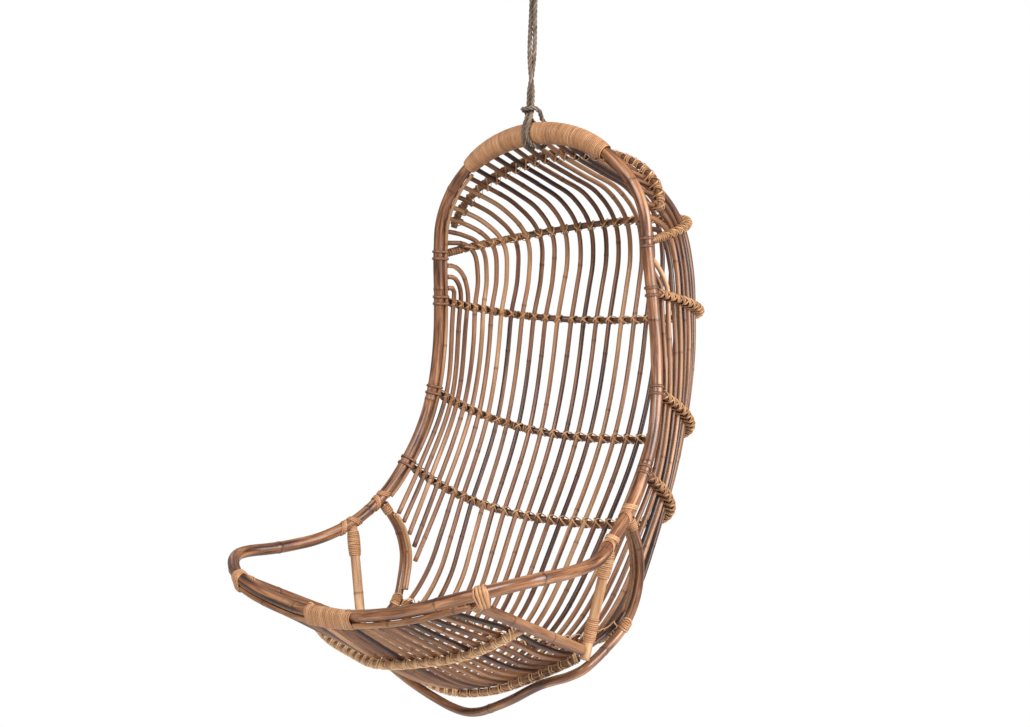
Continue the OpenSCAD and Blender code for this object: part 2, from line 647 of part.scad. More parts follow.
// The hook is an S of two bows that lies in the plane X = 0.
module s_hook() {
    bow_r = (bow_inner_d + steel_d) / 2;
    color("silver")
        translate([0, 0, -hook_top_drop])
            rotate([90, 0, 90]) {
                translate([0, -bow_r])
                    rotate([0, 0, -90])
                        steel_arc(bow_inner_d, bow_sweep);
                translate([0, -3 * bow_r])
                    rotate([0, 0, 90])
                        steel_arc(bow_inner_d, bow_sweep);
            }
}
module rope_fall() {
    color("dimgray")
        tube(fall_path, rope_r, rope_sides);
}
module seizing_outline(r) {
    for (x = [-strand_x, strand_x])
        translate([x, 0])
            circle(r = r);
    square([2 * strand_x, 2 * r], center = true);
}
module rope_seizing() {
    color("gray")
        translate([0, 0, -seizing_drop - seizing_h])
            linear_extrude(height = seizing_h)
                difference() {
                    seizing_outline(rope_r + clearance + twine_t);
                    seizing_outline(rope_r + clearance);
                }
}
module rope_hitch() {
    color("dimgray")
        tube(hitch_path, rope_r, rope_sides);
}

// ---- the frame ----
module rim_pole() {
    color("sienna")
        tube(both_sides(rim_half), rim_r, pole_sides);
}
module rim_liner() {
    color("chocolate")
        both()
            tube(liner_half, liner_d / 2, cane_sides);
}
module arch_padding() {
    inside = [for (i = [1 : len(wrap_path) - 2]) i];
    color("tan")
        sleeve([for (i = inside) wrap_path[i]], [for (i = inside) wrap_radii[i] - peel_t - clearance],
            bore(rim_r), wrap_sides);
}
module arch_wrap() {
    color("burlywood")
        sleeve(wrap_path, wrap_radii, [for (r = wrap_radii) r - peel_t], wrap_sides);
}
module hoop(k) {
    color("saddlebrown")
        tube(both_sides(hoop_cut(k)), hoop_r, hoop_sides);
}
module seat_hoop(half) {
    color("saddlebrown")
        tube(both_sides(half), hoop_r, hoop_sides);
}
module base_loop() {
    color("sienna")
        tube(both_sides(base_half), base_d / 2, pole_sides);
}
module arc_companions() {
    color("peru")
        both()
            for (x = companion_offset)
                tube([for (p = companion_path) p - [x, 0, 0]], companion_d / 2, cane_sides);
}
// The post's top is hollowed to sit against the rim.
module arm_post() {
    at = rim_at(rim_post);
    color("burlywood")
        difference() {
            rod(post_foot, place(rim_post), post_d);
            tube(stretch(rim_half, at - 2 * post_d, at + 2 * post_d), bore(rim_r) / cos(180 / pole_sides), pole_sides);
        }
}
module front_brace() {
    color("tan")
        rod(brace_foot, brace_top, brace_d);
}
module front_cane() {
    color("tan")
        tube(both_sides(front_half), front_cane_d / 2, hoop_sides);
}

// ---- ribs and bindings ----
module rib(i) {
    color("peru") {
        tube(rib_path(i), rib_r, cane_sides);
        if (i > 0)
            tube([for (p = rib_path(i)) flip(p)], rib_r, cane_sides);
    }
}
// One turn of peel, laid slantwise round a rib and the hoop behind it.
module lashing(stack) {
    $fn = 24;
    centre = stack[0] + (rib_r + clearance / 2) * stack[2];
    lie = stack[1] * stack[3] > 0 ? -1 : 1;
    slant = unit(stack[1] + lie * stack[3]);
    turn_r = norm([hoop_r * slope_room, rib_r + hoop_r + clearance / 2]) + clearance + lashing_t / 2;
    aim(centre, cross(stack[2], slant))
        rotate_extrude()
            translate([turn_r, 0])
                circle(d = lashing_t);
}
module lashings(stacks) {
    color("burlywood")
        for (i = [0 : len(stacks) - 1]) {
            lashing(stacks[i]);
            if (i > 0)
                mirror([1, 0, 0])
                    lashing(stacks[i]);
        }
}
module hoop_lashing(k) {
    outermost = k == 1 ? last_hoop_1_rib : k == 2 ? last_arch_rib : side_ribs;
    lashings([for (i = [0 : outermost]) stacks(i)[k - first_hoop(i)]]);
}
module seat_lashing(k) {
    lashings([for (i = [0 : last_seat_rib]) stacks(i)[5 + k]]);
}
function rail_point(x) = along(rim_half, rim_length - x);
// A binding over the front rail and the front cane under it.
module rail_binding(path) {
    inner = [bore(rim_r), bore(front_cane_d / 2)];
    oval_sleeve(path, inner + [peel_t, peel_t], inner, front_drop, wrap_sides);
}
module front_wraps() {
    color("burlywood") {
        rail_binding(both_sides([for (x = [0 : 3]) rail_point(x * front_wrap_length / 6)]));
        both()
            rail_binding([for (x = [0 : 2]) rail_point(front_tie_inner + x * front_tie_length / 2)]);
    }
}
module post_wraps() {
    color("burlywood") {
        both()
            band(post_top - post_way * (post_wrap_top / 2 + 1), post_way, post_d / 2 + clearance,
                post_d / 2 + clearance + peel_t, post_wrap_top);
        band(post_foot + post_way * (post_wrap_foot / 2 + brace_lift + brace_d), post_way,
            post_d / 2 + clearance, post_d / 2 + clearance + peel_t, post_wrap_foot);
    }
}
// Two bands on a pole at a place along it, one on each side of a piece of radius r that leaves along d: where
// they lie, when they stand out by a distance from the pole's centre.
function beside_tie(path, at, r, d, out) =
    let (lean = heading(path, at) * d, flat = sqrt(1 - lean * lean))
    [for (side = [-1, 1])
        at + side * ((r + max(0, side * lean) * out) / flat + 2 * clearance + end_band_w / 2)];
module band_pair(path, at, pole_r, r, d) {
    for (s = beside_tie(path, at, r, d, bore(pole_r) + peel_t))
        band(along(path, s), heading(path, s), bore(pole_r), bore(pole_r) + peel_t, end_band_w);
}
// The outline of a loop round a circle of radius R and a smaller one of radius r, gap away along X.
module loop_outline(R, r, gap) {
    open = acos((R - r) / gap);
    circle(r = R);
    translate([gap, 0])
        circle(r = r);
    polygon([for (e = [[0, R, 1], [gap, r, 1], [gap, r, -1], [0, R, -1]])
        [e[0] + e[1] * cos(open), e[1] * e[2] * sin(open)]]);
}
// A band round the rim and the liner beside it.
module liner_band(s) {
    t = heading(rim_half, s);
    x = beside_way(t);
    y = cross(t, x);
    p = along(rim_half, s);
    R = bore(rim_r);
    r = bore(liner_d / 2);
    multmatrix([for (c = [0 : 2]) [x[c], y[c], t[c], p[c]]])
        linear_extrude(height = end_band_w, center = true)
            difference() {
                loop_outline(R + peel_t, r + peel_t, liner_gap);
                loop_outline(R, r, liner_gap);
            }
}
module hoop_end_bands() {
    out = liner_gap + liner_d / 2 + clearance + peel_t;
    color("burlywood")
        both()
            for (k = [2 : 5])
                for (s = beside_tie(rim_half, rim_at(hoop_ties[k]), hoop_r, -end_heading(hoop_cut(k)), out))
                    liner_band(s);
}
module rim_ties() {
    color("burlywood")
        both() {
            band_pair(rim_half, rim_at(rim_arc), rim_r, base_r, -arc_way);
            band_pair(rim_half, rim_at(rim_post), rim_r, post_d / 2, -post_way);
        }
}
module arc_collars() {
    top = total(base_half) - collar_length / 2 - 1;
    color("burlywood")
        both() {
            band(along(base_half, top), heading(base_half, top), bore(base_r), bore(base_r) + peel_t,
                collar_length - 2);
            band_pair(base_half, foot_at, base_r, hoop_r, -end_heading(rear_cut));
        }
}

ceiling_plate();
ceiling_ring();
s_hook();
rope_fall();
rope_seizing();
rope_hitch();
rim_pole();
rim_liner();
arch_padding();
arch_wrap();
for (k = [1 : 5])
    hoop(k);
seat_hoop(rear_cut);  // seat_hoop_rear
seat_hoop(middle_cut);  // seat_hoop_middle
seat_hoop(fore_cut);  // seat_hoop_front
for (k = [1 : 5])
    hoop_lashing(k);
seat_lashing(0);  // seat_hoop_rear_lashing
seat_lashing(1);  // seat_hoop_middle_lashing
seat_lashing(2);  // seat_hoop_front_lashing
for (k = [0 : side_ribs])
    rib(k);
base_loop();
arc_companions();
arm_post();  // arm_post_right
mirror([1, 0, 0]) arm_post();  // arm_post_left
front_brace();  // front_brace_right
mirror([1, 0, 0]) front_brace();  // front_brace_left
front_cane();
front_wraps();
post_wraps();
arc_collars();
hoop_end_bands();
rim_ties();
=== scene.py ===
import json
import math
import random

import bmesh
import bpy
import numpy as np
from mathutils import Euler, Matrix, Vector

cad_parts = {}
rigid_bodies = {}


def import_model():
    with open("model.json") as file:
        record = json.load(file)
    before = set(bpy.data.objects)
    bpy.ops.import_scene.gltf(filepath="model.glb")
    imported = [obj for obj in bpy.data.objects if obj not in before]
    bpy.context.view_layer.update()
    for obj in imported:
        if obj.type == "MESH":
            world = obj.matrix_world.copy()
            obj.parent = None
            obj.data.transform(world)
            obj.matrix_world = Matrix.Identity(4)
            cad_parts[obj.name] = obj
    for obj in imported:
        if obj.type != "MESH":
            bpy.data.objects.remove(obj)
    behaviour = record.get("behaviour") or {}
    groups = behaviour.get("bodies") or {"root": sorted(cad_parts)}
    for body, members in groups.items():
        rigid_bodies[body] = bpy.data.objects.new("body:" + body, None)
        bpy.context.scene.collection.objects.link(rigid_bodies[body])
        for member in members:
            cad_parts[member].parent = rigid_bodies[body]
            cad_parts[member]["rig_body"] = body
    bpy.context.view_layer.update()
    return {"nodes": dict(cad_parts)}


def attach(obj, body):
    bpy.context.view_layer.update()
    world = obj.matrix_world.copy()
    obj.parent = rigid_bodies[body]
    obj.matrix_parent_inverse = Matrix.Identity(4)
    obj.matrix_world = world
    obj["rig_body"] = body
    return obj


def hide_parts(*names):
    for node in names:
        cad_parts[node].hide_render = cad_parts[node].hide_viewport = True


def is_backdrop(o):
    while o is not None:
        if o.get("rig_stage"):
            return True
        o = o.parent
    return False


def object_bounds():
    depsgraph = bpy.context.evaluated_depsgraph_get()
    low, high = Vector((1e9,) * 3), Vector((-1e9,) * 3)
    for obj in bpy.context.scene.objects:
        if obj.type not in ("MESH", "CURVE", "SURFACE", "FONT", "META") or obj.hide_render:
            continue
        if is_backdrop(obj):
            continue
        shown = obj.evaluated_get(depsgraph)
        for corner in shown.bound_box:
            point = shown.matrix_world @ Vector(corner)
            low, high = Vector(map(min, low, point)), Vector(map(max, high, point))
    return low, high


for left_over in list(bpy.data.objects):
    bpy.data.objects.remove(left_over)
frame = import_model()

# ---- Camera ----
# It stands at seat height, 42 degrees round from the front towards +X, and is pitched as the chair leans
# back under its rope.
LEAN = math.radians(2.5)
camera_data = bpy.data.cameras.new("camera")
camera_data.lens = 66.2
camera_data.sensor_width = 36.0
camera_data.shift_y = 0.0203
camera = bpy.data.objects.new("camera", camera_data)
camera.matrix_world = (
    Matrix.Translation((2.6694, -2.9851, -1.1155))
    @ Matrix.Rotation(LEAN, 4, "X")
    @ Euler((math.radians(90), 0, math.radians(42))).to_matrix().to_4x4()
)
bpy.context.scene.collection.objects.link(camera)
bpy.context.scene.camera = camera
bpy.context.scene.view_settings.view_transform = "Standard"

# ---- Rope ----
# One endless laid rope of three jute strands, 10 mm thick. It hangs doubled over the hook's lower bow,
# its two falls twist round each other, and below them it is hitched round the padded top of the arch.
ROPE_D = 0.010
ROPE_LAY = 0.034
ROPE_STEP = 0.0028
HANG_DROP = 0.450
ARCH_TOP = Vector((0, 0.01499, -HANG_DROP))
FALL_X = 0.0052
FALL_END = -0.3737
BAR_Z = -0.1067
TWIST_TOP = BAR_Z - 0.058


def spaced(points, step):
    """A smooth line through the points, with a point about every step."""
    ways = [(points[1] - points[0]).normalized()]
    for before, here, after in zip(points, points[1:], points[2:]):
        back, ahead = here - before, after - here
        mean = back.normalized() * ahead.length + ahead.normalized() * back.length
        ways.append(mean.normalized())
    ways.append((points[-1] - points[-2]).normalized())
    line = []
    for a, b, way_a, way_b in zip(points, points[1:], ways, ways[1:]):
        reach = (b - a).length
        steps = max(1, round(reach / step))
        for k in range(steps):
            t = k / steps
            line.append(
                a * (1 + t * t * (2 * t - 3))
                + b * (t * t * (3 - 2 * t))
                + way_a * (reach * t * (1 - t) ** 2)
                - way_b * (reach * t * t * (1 - t))
            )
    line.append(points[-1].copy())
    return line


def distances(line):
    """How far along the line each of its points lies."""
    far = [0.0]
    for a, b in zip(line, line[1:]):
        far.append(far[-1] + (b - a).length)
    return far


def cross_ways(line):
    """At each point of the line: its heading and two directions across it that turn as little as they can."""
    found, across = [], None
    for i in range(len(line)):
        heading = (line[min(i + 1, len(line) - 1)] - line[max(i - 1, 0)]).normalized()
        if across is None:
            across = heading.orthogonal()
        across = (across - heading * across.dot(heading)).normalized()
        found.append((heading, across, heading.cross(across)))
    return found


def new_canes():
    """An empty mesh for canes, with places for the grain, the shade and the knuckles."""
    canes = bmesh.new()
    canes.verts.layers.float_vector.new("grain")
    canes.verts.layers.float.new("shade")
    canes.verts.layers.float.new("knuckle")
    return canes


def add_cane(canes, line, radii, sides, shade=0.0, knuckles=None):
    """A round bar along the line: a capped cylinder, cut into rings that are moved onto the line."""
    grain = canes.verts.layers.float_vector["grain"]
    shades = canes.verts.layers.float["shade"]
    knuckle = canes.verts.layers.float["knuckle"]
    rings = len(line)
    start = len(canes.verts)
    made = bmesh.ops.create_cone(
        canes, cap_ends=True, segments=sides, radius1=1, radius2=1, depth=1
    )["verts"]
    upright = [e for v in made for e in v.link_edges if abs(e.verts[0].co.z - e.verts[1].co.z) > 0.5]
    bmesh.ops.subdivide_edges(canes, edges=list(dict.fromkeys(upright)), cuts=rings - 2)
    canes.verts.ensure_lookup_table()
    made = canes.verts[start:]
    ways, far = cross_ways(line), distances(line)
    for v in made:
        i = round((v.co.z + 0.5) * (rings - 1))
        heading, a, b = ways[i]
        angle = math.atan2(v.co.y, v.co.x)
        radius = radii[i] if isinstance(radii, (list, tuple)) else radii
        out = a * math.cos(angle) + b * math.sin(angle)
        v.co = line[i] + out * radius
        v[grain] = (far[i], radius * math.cos(angle), radius * math.sin(angle))
        v[shades] = shade
        v[knuckle] = knuckles[i] if knuckles else 0.0


def finished(canes, name, material):
    """The mesh as an object with its material."""
    mesh = bpy.data.meshes.new(name)
    bmesh.ops.recalc_face_normals(canes, faces=canes.faces)
    canes.to_mesh(mesh)
    canes.free()
    mesh.shade_smooth()
    mesh.materials.append(material)
    piece = bpy.data.objects.new(name, mesh)
    bpy.context.scene.collection.objects.link(piece)
    return piece


def stands_for(piece, *nodes):
    """The piece takes the nodes' place on their body, and the nodes are hidden."""
    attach(piece, frame["nodes"][nodes[0]]["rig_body"])
    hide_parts(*nodes)
    return piece


def fibre_finish(name, colours, rough, fibre, blotch, bump, coat=0.0):
    """A finish with fibres along the piece and blotches, its shade set piece by piece. The fibre and the
    blotch are each given as how many there are in a metre, along the piece and across it."""
    material = bpy.data.materials.new(name)
    material.use_nodes = True
    tree = material.node_tree
    shader = tree.nodes["Principled BSDF"]
    link = tree.links.new

    def node(kind, **values):
        made = tree.nodes.new(kind)
        for key, value in values.items():
            if key in made.inputs:
                made.inputs[key].default_value = value
            else:
                setattr(made, key, value)
        return made

    grain = node("ShaderNodeAttribute", attribute_name="grain")
    shade = node("ShaderNodeAttribute", attribute_name="shade")
    knuckle = node("ShaderNodeAttribute", attribute_name="knuckle")
    shift = node("ShaderNodeCombineXYZ")
    link(shade.outputs["Fac"], shift.inputs["X"])
    apart = node("ShaderNodeVectorMath", operation="MULTIPLY_ADD")
    apart.inputs[1].default_value = (7.31, 3.17, 5.53)
    link(shift.outputs[0], apart.inputs[0])
    link(grain.outputs["Vector"], apart.inputs[2])
    long_way = node("ShaderNodeMapping", Scale=(fibre[0], fibre[1], fibre[1]))
    link(apart.outputs[0], long_way.inputs["Vector"])
    fine = node("ShaderNodeTexNoise", Scale=1.0, Detail=3.0, Roughness=0.65)
    link(long_way.outputs[0], fine.inputs["Vector"])
    wide_way = node("ShaderNodeMapping", Scale=(blotch[0], blotch[1], blotch[1]))
    link(apart.outputs[0], wide_way.inputs["Vector"])
    wide = node("ShaderNodeTexNoise", Scale=1.0, Detail=4.0, Roughness=0.6, Distortion=0.4)
    link(wide_way.outputs[0], wide.inputs["Vector"])

    def maths(operation, a, b, clamp=False):
        made = node("ShaderNodeMath", operation=operation, use_clamp=clamp)
        for i, value in enumerate((a, b)):
            if isinstance(value, (int, float)):
                made.inputs[i].default_value = value
            else:
                link(value, made.inputs[i])
        return made.outputs[0]

    fine_part = maths("MULTIPLY", maths("SUBTRACT", fine.outputs["Fac"], 0.5), 0.75)
    wide_part = maths("MULTIPLY", maths("SUBTRACT", wide.outputs["Fac"], 0.5), 2.3)
    shade_part = maths("MULTIPLY", shade.outputs["Fac"], 0.30)
    place = maths("ADD", maths("ADD", fine_part, wide_part), maths("ADD", shade_part, 0.48), True)
    ramp = node("ShaderNodeValToRGB")
    spots = ramp.color_ramp.elements
    while len(spots) < len(colours):
        spots.new(0.5)
    for i, (spot, colour) in enumerate(zip(spots, colours)):
        spot.position = i / (len(colours) - 1)
        spot.color = (*colour, 1)
    link(place, ramp.inputs[0])
    dark = node("ShaderNodeMix", data_type="RGBA", blend_type="MULTIPLY")
    link(maths("MULTIPLY", knuckle.outputs["Fac"], 0.75, True), dark.inputs["Factor"])
    link(ramp.outputs["Color"], dark.inputs["A"])
    dark.inputs["B"].default_value = (0.30, 0.19, 0.13, 1)
    link(dark.outputs["Result"], shader.inputs["Base Color"])
    roughness = maths("ADD", maths("MULTIPLY", wide.outputs["Fac"], 0.25), rough - 0.12)
    link(roughness, shader.inputs["Roughness"])
    shader.inputs["Coat Weight"].default_value = coat
    shader.inputs["Coat Roughness"].default_value = 0.35
    height = node("ShaderNodeBump", Strength=bump, Distance=0.0006)
    link(fine.outputs["Fac"], height.inputs["Height"])
    link(height.outputs["Normal"], shader.inputs["Normal"])
    return material


jute = fibre_finish(
    "jute", [(0.06, 0.041, 0.028), (0.165, 0.117, 0.084), (0.3, 0.225, 0.165)],
    rough=0.85, fibre=(260, 1600), blotch=(30, 300), bump=0.8,
)


def laid_rope(name, route):
    """Three strands that wind round each other along the route."""
    strand = ROPE_D / 2 / (1 + 2 / math.sqrt(3))
    line = spaced(route, ROPE_STEP)
    ways, far = cross_ways(line), distances(line)
    canes = new_canes()
    for k in range(3):
        wound = []
        for point, (heading, a, b), s in zip(line, ways, far):
            turn = math.tau * (s / ROPE_LAY + k / 3)
            wound.append(point + (a * math.cos(turn) + b * math.sin(turn)) * (ROPE_D / 2 - strand))
        add_cane(canes, wound, strand * 1.06, 10, shade=(k - 1) * 0.5)
    return finished(canes, name, jute), line


def fall_twist(t):
    """A place on one fall, at t of the way up from the hitch: it goes half a turn round the other fall."""
    a = -math.pi * t * (2 - t)
    bottom = FALL_END + ROPE_D
    return Vector((-FALL_X * math.cos(a), -FALL_X * math.sin(a), bottom + (TWIST_TOP - bottom) * t))


bight = [
    Vector((0.0093 * math.sin(math.radians(a)), 0, BAR_Z + 0.0093 * math.cos(math.radians(a))))
    for a in (0, 30, 60, 90)
]
one_fall = (
    bight
    + [Vector((0.0083, 0, -0.1167)), Vector((0.0065, 0, -0.1287))]
    + [Vector((FALL_X, 0, -0.1367)), Vector((FALL_X, 0, -0.1587))]
    + [fall_twist(i / 12) for i in range(12, -1, -1)]
    + [Vector((-FALL_X, 0, FALL_END))]
)
fall_route = [Vector((-p.x, -p.y, p.z)) for p in reversed(one_fall)] + one_fall[1:]
rope_fall_strands, fall_line = laid_rope("fall_rope", fall_route)
stands_for(rope_fall_strands, "rope_fall")

HITCH_R = 0.0296 / math.cos(math.radians(11.25))
HITCH_OUT = 0.014


def hitch_turn(angle):
    """A place on the turn round the arch, its angle counted from straight up and down in front."""
    eased = min(1, max(0, (angle - 100) / 110))
    across = FALL_X + (HITCH_OUT - FALL_X) * (1 - math.cos(math.pi * eased)) / 2
    a = math.radians(angle)
    return Vector((across, -HITCH_R * math.sin(a), HITCH_R * math.cos(a)))


fall_y = -ARCH_TOP.y
one_leg = (
    [Vector((0, fall_y - 0.0116, 0.050)), Vector((0.008, fall_y - 0.0115, 0.0505))]
    + [Vector((0.015, fall_y - 0.0075, 0.0505)), Vector((0.018, -0.011, 0.0475))]
    + [hitch_turn(340)]
    + [hitch_turn(315 - 22.5 * i) for i in range(12)]
    + [Vector((FALL_X, fall_y - 0.005, 0.030)), Vector((FALL_X, fall_y - 0.0006, 0.048))]
    + [Vector((FALL_X, fall_y, 0.062)), Vector((FALL_X, fall_y, 0.076))]
)
hitch_route = [ARCH_TOP + Vector((-p.x, p.y, p.z)) for p in reversed(one_leg)]
hitch_route += [ARCH_TOP + p for p in one_leg[1:]]
rope_hitch_strands, hitch_line = laid_rope("hitch_rope", hitch_route)
stands_for(rope_hitch_strands, "rope_hitch")

# ---- Hook, ring and ceiling plate ----
# The hardware is 8 mm zinc-plated steel rod, cold bent, and a 4 mm plate with four screw holes. The ring's
# stem is welded to the plate, and the hook hangs in the ring.
zinc = bpy.data.materials.new("zinc plate")
zinc.use_nodes = True
zinc_tree = zinc.node_tree
zinc_shader = zinc_tree.nodes["Principled BSDF"]
zinc_shader.inputs["Metallic"].default_value = 1.0
place_on = zinc_tree.nodes.new("ShaderNodeTexCoord")
spangle = zinc_tree.nodes.new("ShaderNodeTexNoise")
spangle.inputs["Scale"].default_value = 260
spangle.inputs["Detail"].default_value = 5
zinc_tree.links.new(place_on.outputs["Object"], spangle.inputs["Vector"])
zinc_ramp = zinc_tree.nodes.new("ShaderNodeValToRGB")
zinc_ramp.color_ramp.elements[0].color = (0.42, 0.43, 0.44, 1)
zinc_ramp.color_ramp.elements[1].color = (0.74, 0.74, 0.72, 1)
zinc_tree.links.new(spangle.outputs["Fac"], zinc_ramp.inputs[0])
zinc_tree.links.new(zinc_ramp.outputs["Color"], zinc_shader.inputs["Base Color"])
zinc_rough = zinc_tree.nodes.new("ShaderNodeMapRange")
zinc_rough.inputs["To Min"].default_value = 0.28
zinc_rough.inputs["To Max"].default_value = 0.5
zinc_tree.links.new(spangle.outputs["Fac"], zinc_rough.inputs["Value"])
zinc_tree.links.new(zinc_rough.outputs["Result"], zinc_shader.inputs["Roughness"])
for node_name in ("ceiling_plate", "ceiling_ring", "s_hook"):
    steel_part = frame["nodes"][node_name]
    steel_part.data.materials.clear()
    steel_part.data.materials.append(zinc)

# ---- Seizing ----
# Ten tight turns of 2.1 mm twine clamp the two falls together under the hook. Like every binding that
# follows, each turn is a flat ring that is drawn tight round what it holds.
TWINE_D = 0.0021
twine_finish = fibre_finish(
    "twine", [(0.08, 0.055, 0.035), (0.17, 0.125, 0.085), (0.26, 0.20, 0.14)],
    rough=0.8, fibre=(400, 2600), blotch=(60, 500), bump=0.6,
)


BLANK_R = 10.0


def band_ring(columns):
    """A wide blank for one flat turn of peel, spun from a low four-cornered section, with the column of
    each of its corners, its place across the turn and its height."""
    ring = bmesh.new()
    section = [(-0.5, 0.0), (-0.36, 1.0), (0.36, 1.0), (0.5, 0.0)]
    corners = [ring.verts.new((BLANK_R + height, 0, side)) for side, height in section]
    edges = [ring.edges.new((corners[i], corners[(i + 1) % 4])) for i in range(4)]
    bmesh.ops.spin(
        ring, geom=corners + edges, cent=(0, 0, 0), axis=(0, 0, 1), angle=math.tau,
        steps=columns, use_merge=True, use_normal_flip=False, use_duplicate=False,
    )
    bmesh.ops.remove_doubles(ring, verts=ring.verts, dist=1e-4)
    bmesh.ops.recalc_face_normals(ring, faces=ring.faces)
    mesh = bpy.data.meshes.new("turn")
    ring.to_mesh(mesh)
    ring.free()
    places = []
    for v in mesh.vertices:
        angle = math.atan2(v.co.y, v.co.x)
        height = Vector((v.co.x, v.co.y)).length - BLANK_R
        places.append((round(angle / math.tau * columns) % columns, v.co.z, height))
    return mesh, places


RINGS = {columns: band_ring(columns) for columns in (12, 16, 28)}


def add_turn(turns, centre, u, v, rounds, width, thick, shade=0.0, columns=16, lift=0.0001):
    """A turn of peel drawn tight round some round sections that lie in the plane of u and v.
    Each section is (place along u, place along v, half-width along u, half-width along v)."""
    grain = turns.verts.layers.float_vector["grain"]
    shades = turns.verts.layers.float["shade"]
    mesh, places = RINGS[columns]
    axis = u.cross(v).normalized()
    skin = []
    for k in range(columns):
        a = math.tau * k / columns
        nx, ny = math.cos(a), math.sin(a)
        best = max(
            (cu * nx + cv * ny + math.hypot(ru * nx, rv * ny), cu, cv, ru, rv) for cu, cv, ru, rv in rounds
        )
        _, cu, cv, ru, rv = best
        spread = math.hypot(ru * nx, rv * ny)
        at = centre + u * (cu + ru * ru * nx / spread) + v * (cv + rv * rv * ny / spread)
        skin.append((at, u * nx + v * ny))
    length = sum((skin[k][0] - skin[k - 1][0]).length for k in range(columns))
    start = len(turns.verts)
    turns.from_mesh(mesh)
    turns.verts.ensure_lookup_table()
    for i, (k, side, height) in enumerate(places):
        at, out = skin[k]
        corner = turns.verts[start + i]
        corner.co = at + out * (lift + height * thick) + axis * (side * width)
        corner[grain] = (length * k / columns, side * width, height * thick)
        corner[shades] = shade


luck = random.Random(11)
seizing = new_canes()
SEIZING_TOP, SEIZING_LONG, SEIZING_TURNS = -0.1367, 0.022, 10
for i in range(SEIZING_TURNS):
    z = SEIZING_TOP - SEIZING_LONG * (i + 0.5) / SEIZING_TURNS
    add_turn(
        seizing, Vector((0, 0, z)), Vector((1, 0, 0)), Vector((0, 1, 0)),
        [(-FALL_X, 0, 0.005, 0.005), (FALL_X, 0, 0.005, 0.005)],
        TWINE_D, TWINE_D * 0.9, luck.uniform(-1, 1), 28,
    )
seizing_twine = stands_for(finished(seizing, "seizing_twine", twine_finish), "rope_seizing")

# ---- Rim pole ----
# One 25 mm rattan pole, steamed and bent round the whole opening, scarfed in the front rail. It keeps its
# bark: brown and glossy, with a ridged knuckle every few hands.
rattan_pole = fibre_finish(
    "rattan pole",
    [
        (0.016, 0.005, 0.003),
        (0.078, 0.024, 0.009),
        (0.205, 0.0789, 0.031),
        (0.36, 0.162, 0.0697),
        (0.55, 0.285, 0.143),
    ],
    rough=0.36, fibre=(22, 750), blotch=(8, 100), bump=0.35, coat=0.3,
)


def middle_of(corners):
    """The middle of the corners, added up in a fixed order so that each run gives the same."""
    return sum((v.co for v in sorted(corners, key=lambda v: v.index)), Vector()) / len(corners)


def centre_lines(node_name):
    """The line down the middle of each of a node's poles, and its radius. A pole is a row of rings between
    two caps."""
    shell = bmesh.new()
    shell.from_mesh(frame["nodes"][node_name].data)
    bmesh.ops.remove_doubles(shell, verts=shell.verts, dist=1e-6)
    shell.verts.index_update()
    shell.normal_update()
    caps, seen_faces = [], set()
    for face in shell.faces:
        if face in seen_faces:
            continue
        flat, queue = {face}, [face]
        while queue:
            for edge in queue.pop().edges:
                for other in edge.link_faces:
                    if other not in flat and other.normal.dot(face.normal) > 0.99999:
                        flat.add(other)
                        queue.append(other)
        seen_faces |= flat
        corners = {v for f in flat for v in f.verts}
        if len(flat) >= 4 and len(corners) == len(flat) + 2:
            middle = middle_of(corners)
            radii = [(v.co - middle).length for v in corners]
            if max(radii) < 1.02 * min(radii):
                caps.append(corners)
    lines, used = [], set()
    for cap in caps:
        if next(iter(cap)) in used:
            continue
        ring, line = cap, []
        middle = middle_of(cap)
        radius = max((v.co - middle).length for v in cap)
        while ring:
            used |= ring
            line.append(middle_of(ring))
            ring = {e.other_vert(v) for v in ring for e in v.link_edges} - used
        # A closed pole's ends lie together, so there the quarter points tell which way it runs.
        near = 0 if abs(line[0].x - line[-1].x) > 1e-5 else len(line) // 4
        if line[near].x > line[-1 - near].x:
            line.reverse()
        lines.append((line, radius))
    shell.free()
    return lines


# A knuckle's ridge and the dark ring on it, where rings are cut to shape it, and how much thickness wanders.
KNUCKLE_RIDGE, KNUCKLE_RING = 0.0035, 0.0022
KNUCKLE_CUTS = (-0.0055, -0.0028, -0.001, 0.001, 0.0028, 0.0055)
KNUCKLE_ROOM = 0.007
WANDER = 0.02


def grown(line, radius, gap, seed, swell=0.07, step=0.009):
    """The line as a cane grows: a knuckle every gap or so, and a thickness that wanders a little."""
    chance = random.Random(seed)
    fine = spaced(line, step)
    far = distances(fine)
    knuckles, at = [], chance.uniform(0.2, 0.9) * gap
    while at < far[-1]:
        knuckles.append(at)
        at += gap * chance.uniform(0.75, 1.25)
    phase = chance.uniform(0, 6)
    places = [s for s in far if all(abs(s - k) > KNUCKLE_ROOM for k in knuckles)]
    for k in knuckles:
        places += [k + d for d in KNUCKLE_CUTS if 0 < k + d < far[-1]]
    places = sorted(set(places) | {0.0, far[-1]})
    kept, radii, rings, i = [], [], [], 0
    for s in places:
        while i < len(far) - 2 and far[i + 1] < s:
            i += 1
        t = (s - far[i]) / (far[i + 1] - far[i])
        kept.append(fine[i].lerp(fine[i + 1], min(1, max(0, t))))
        near = min((abs(s - k) for k in knuckles), default=1.0)
        ridge = math.exp(-((near / KNUCKLE_RIDGE) ** 2))
        radii.append(radius * (1 - WANDER + WANDER * math.sin(9 * s + phase) + swell * ridge))
        rings.append(math.exp(-((near / KNUCKLE_RING) ** 2)))
    return kept, radii, rings


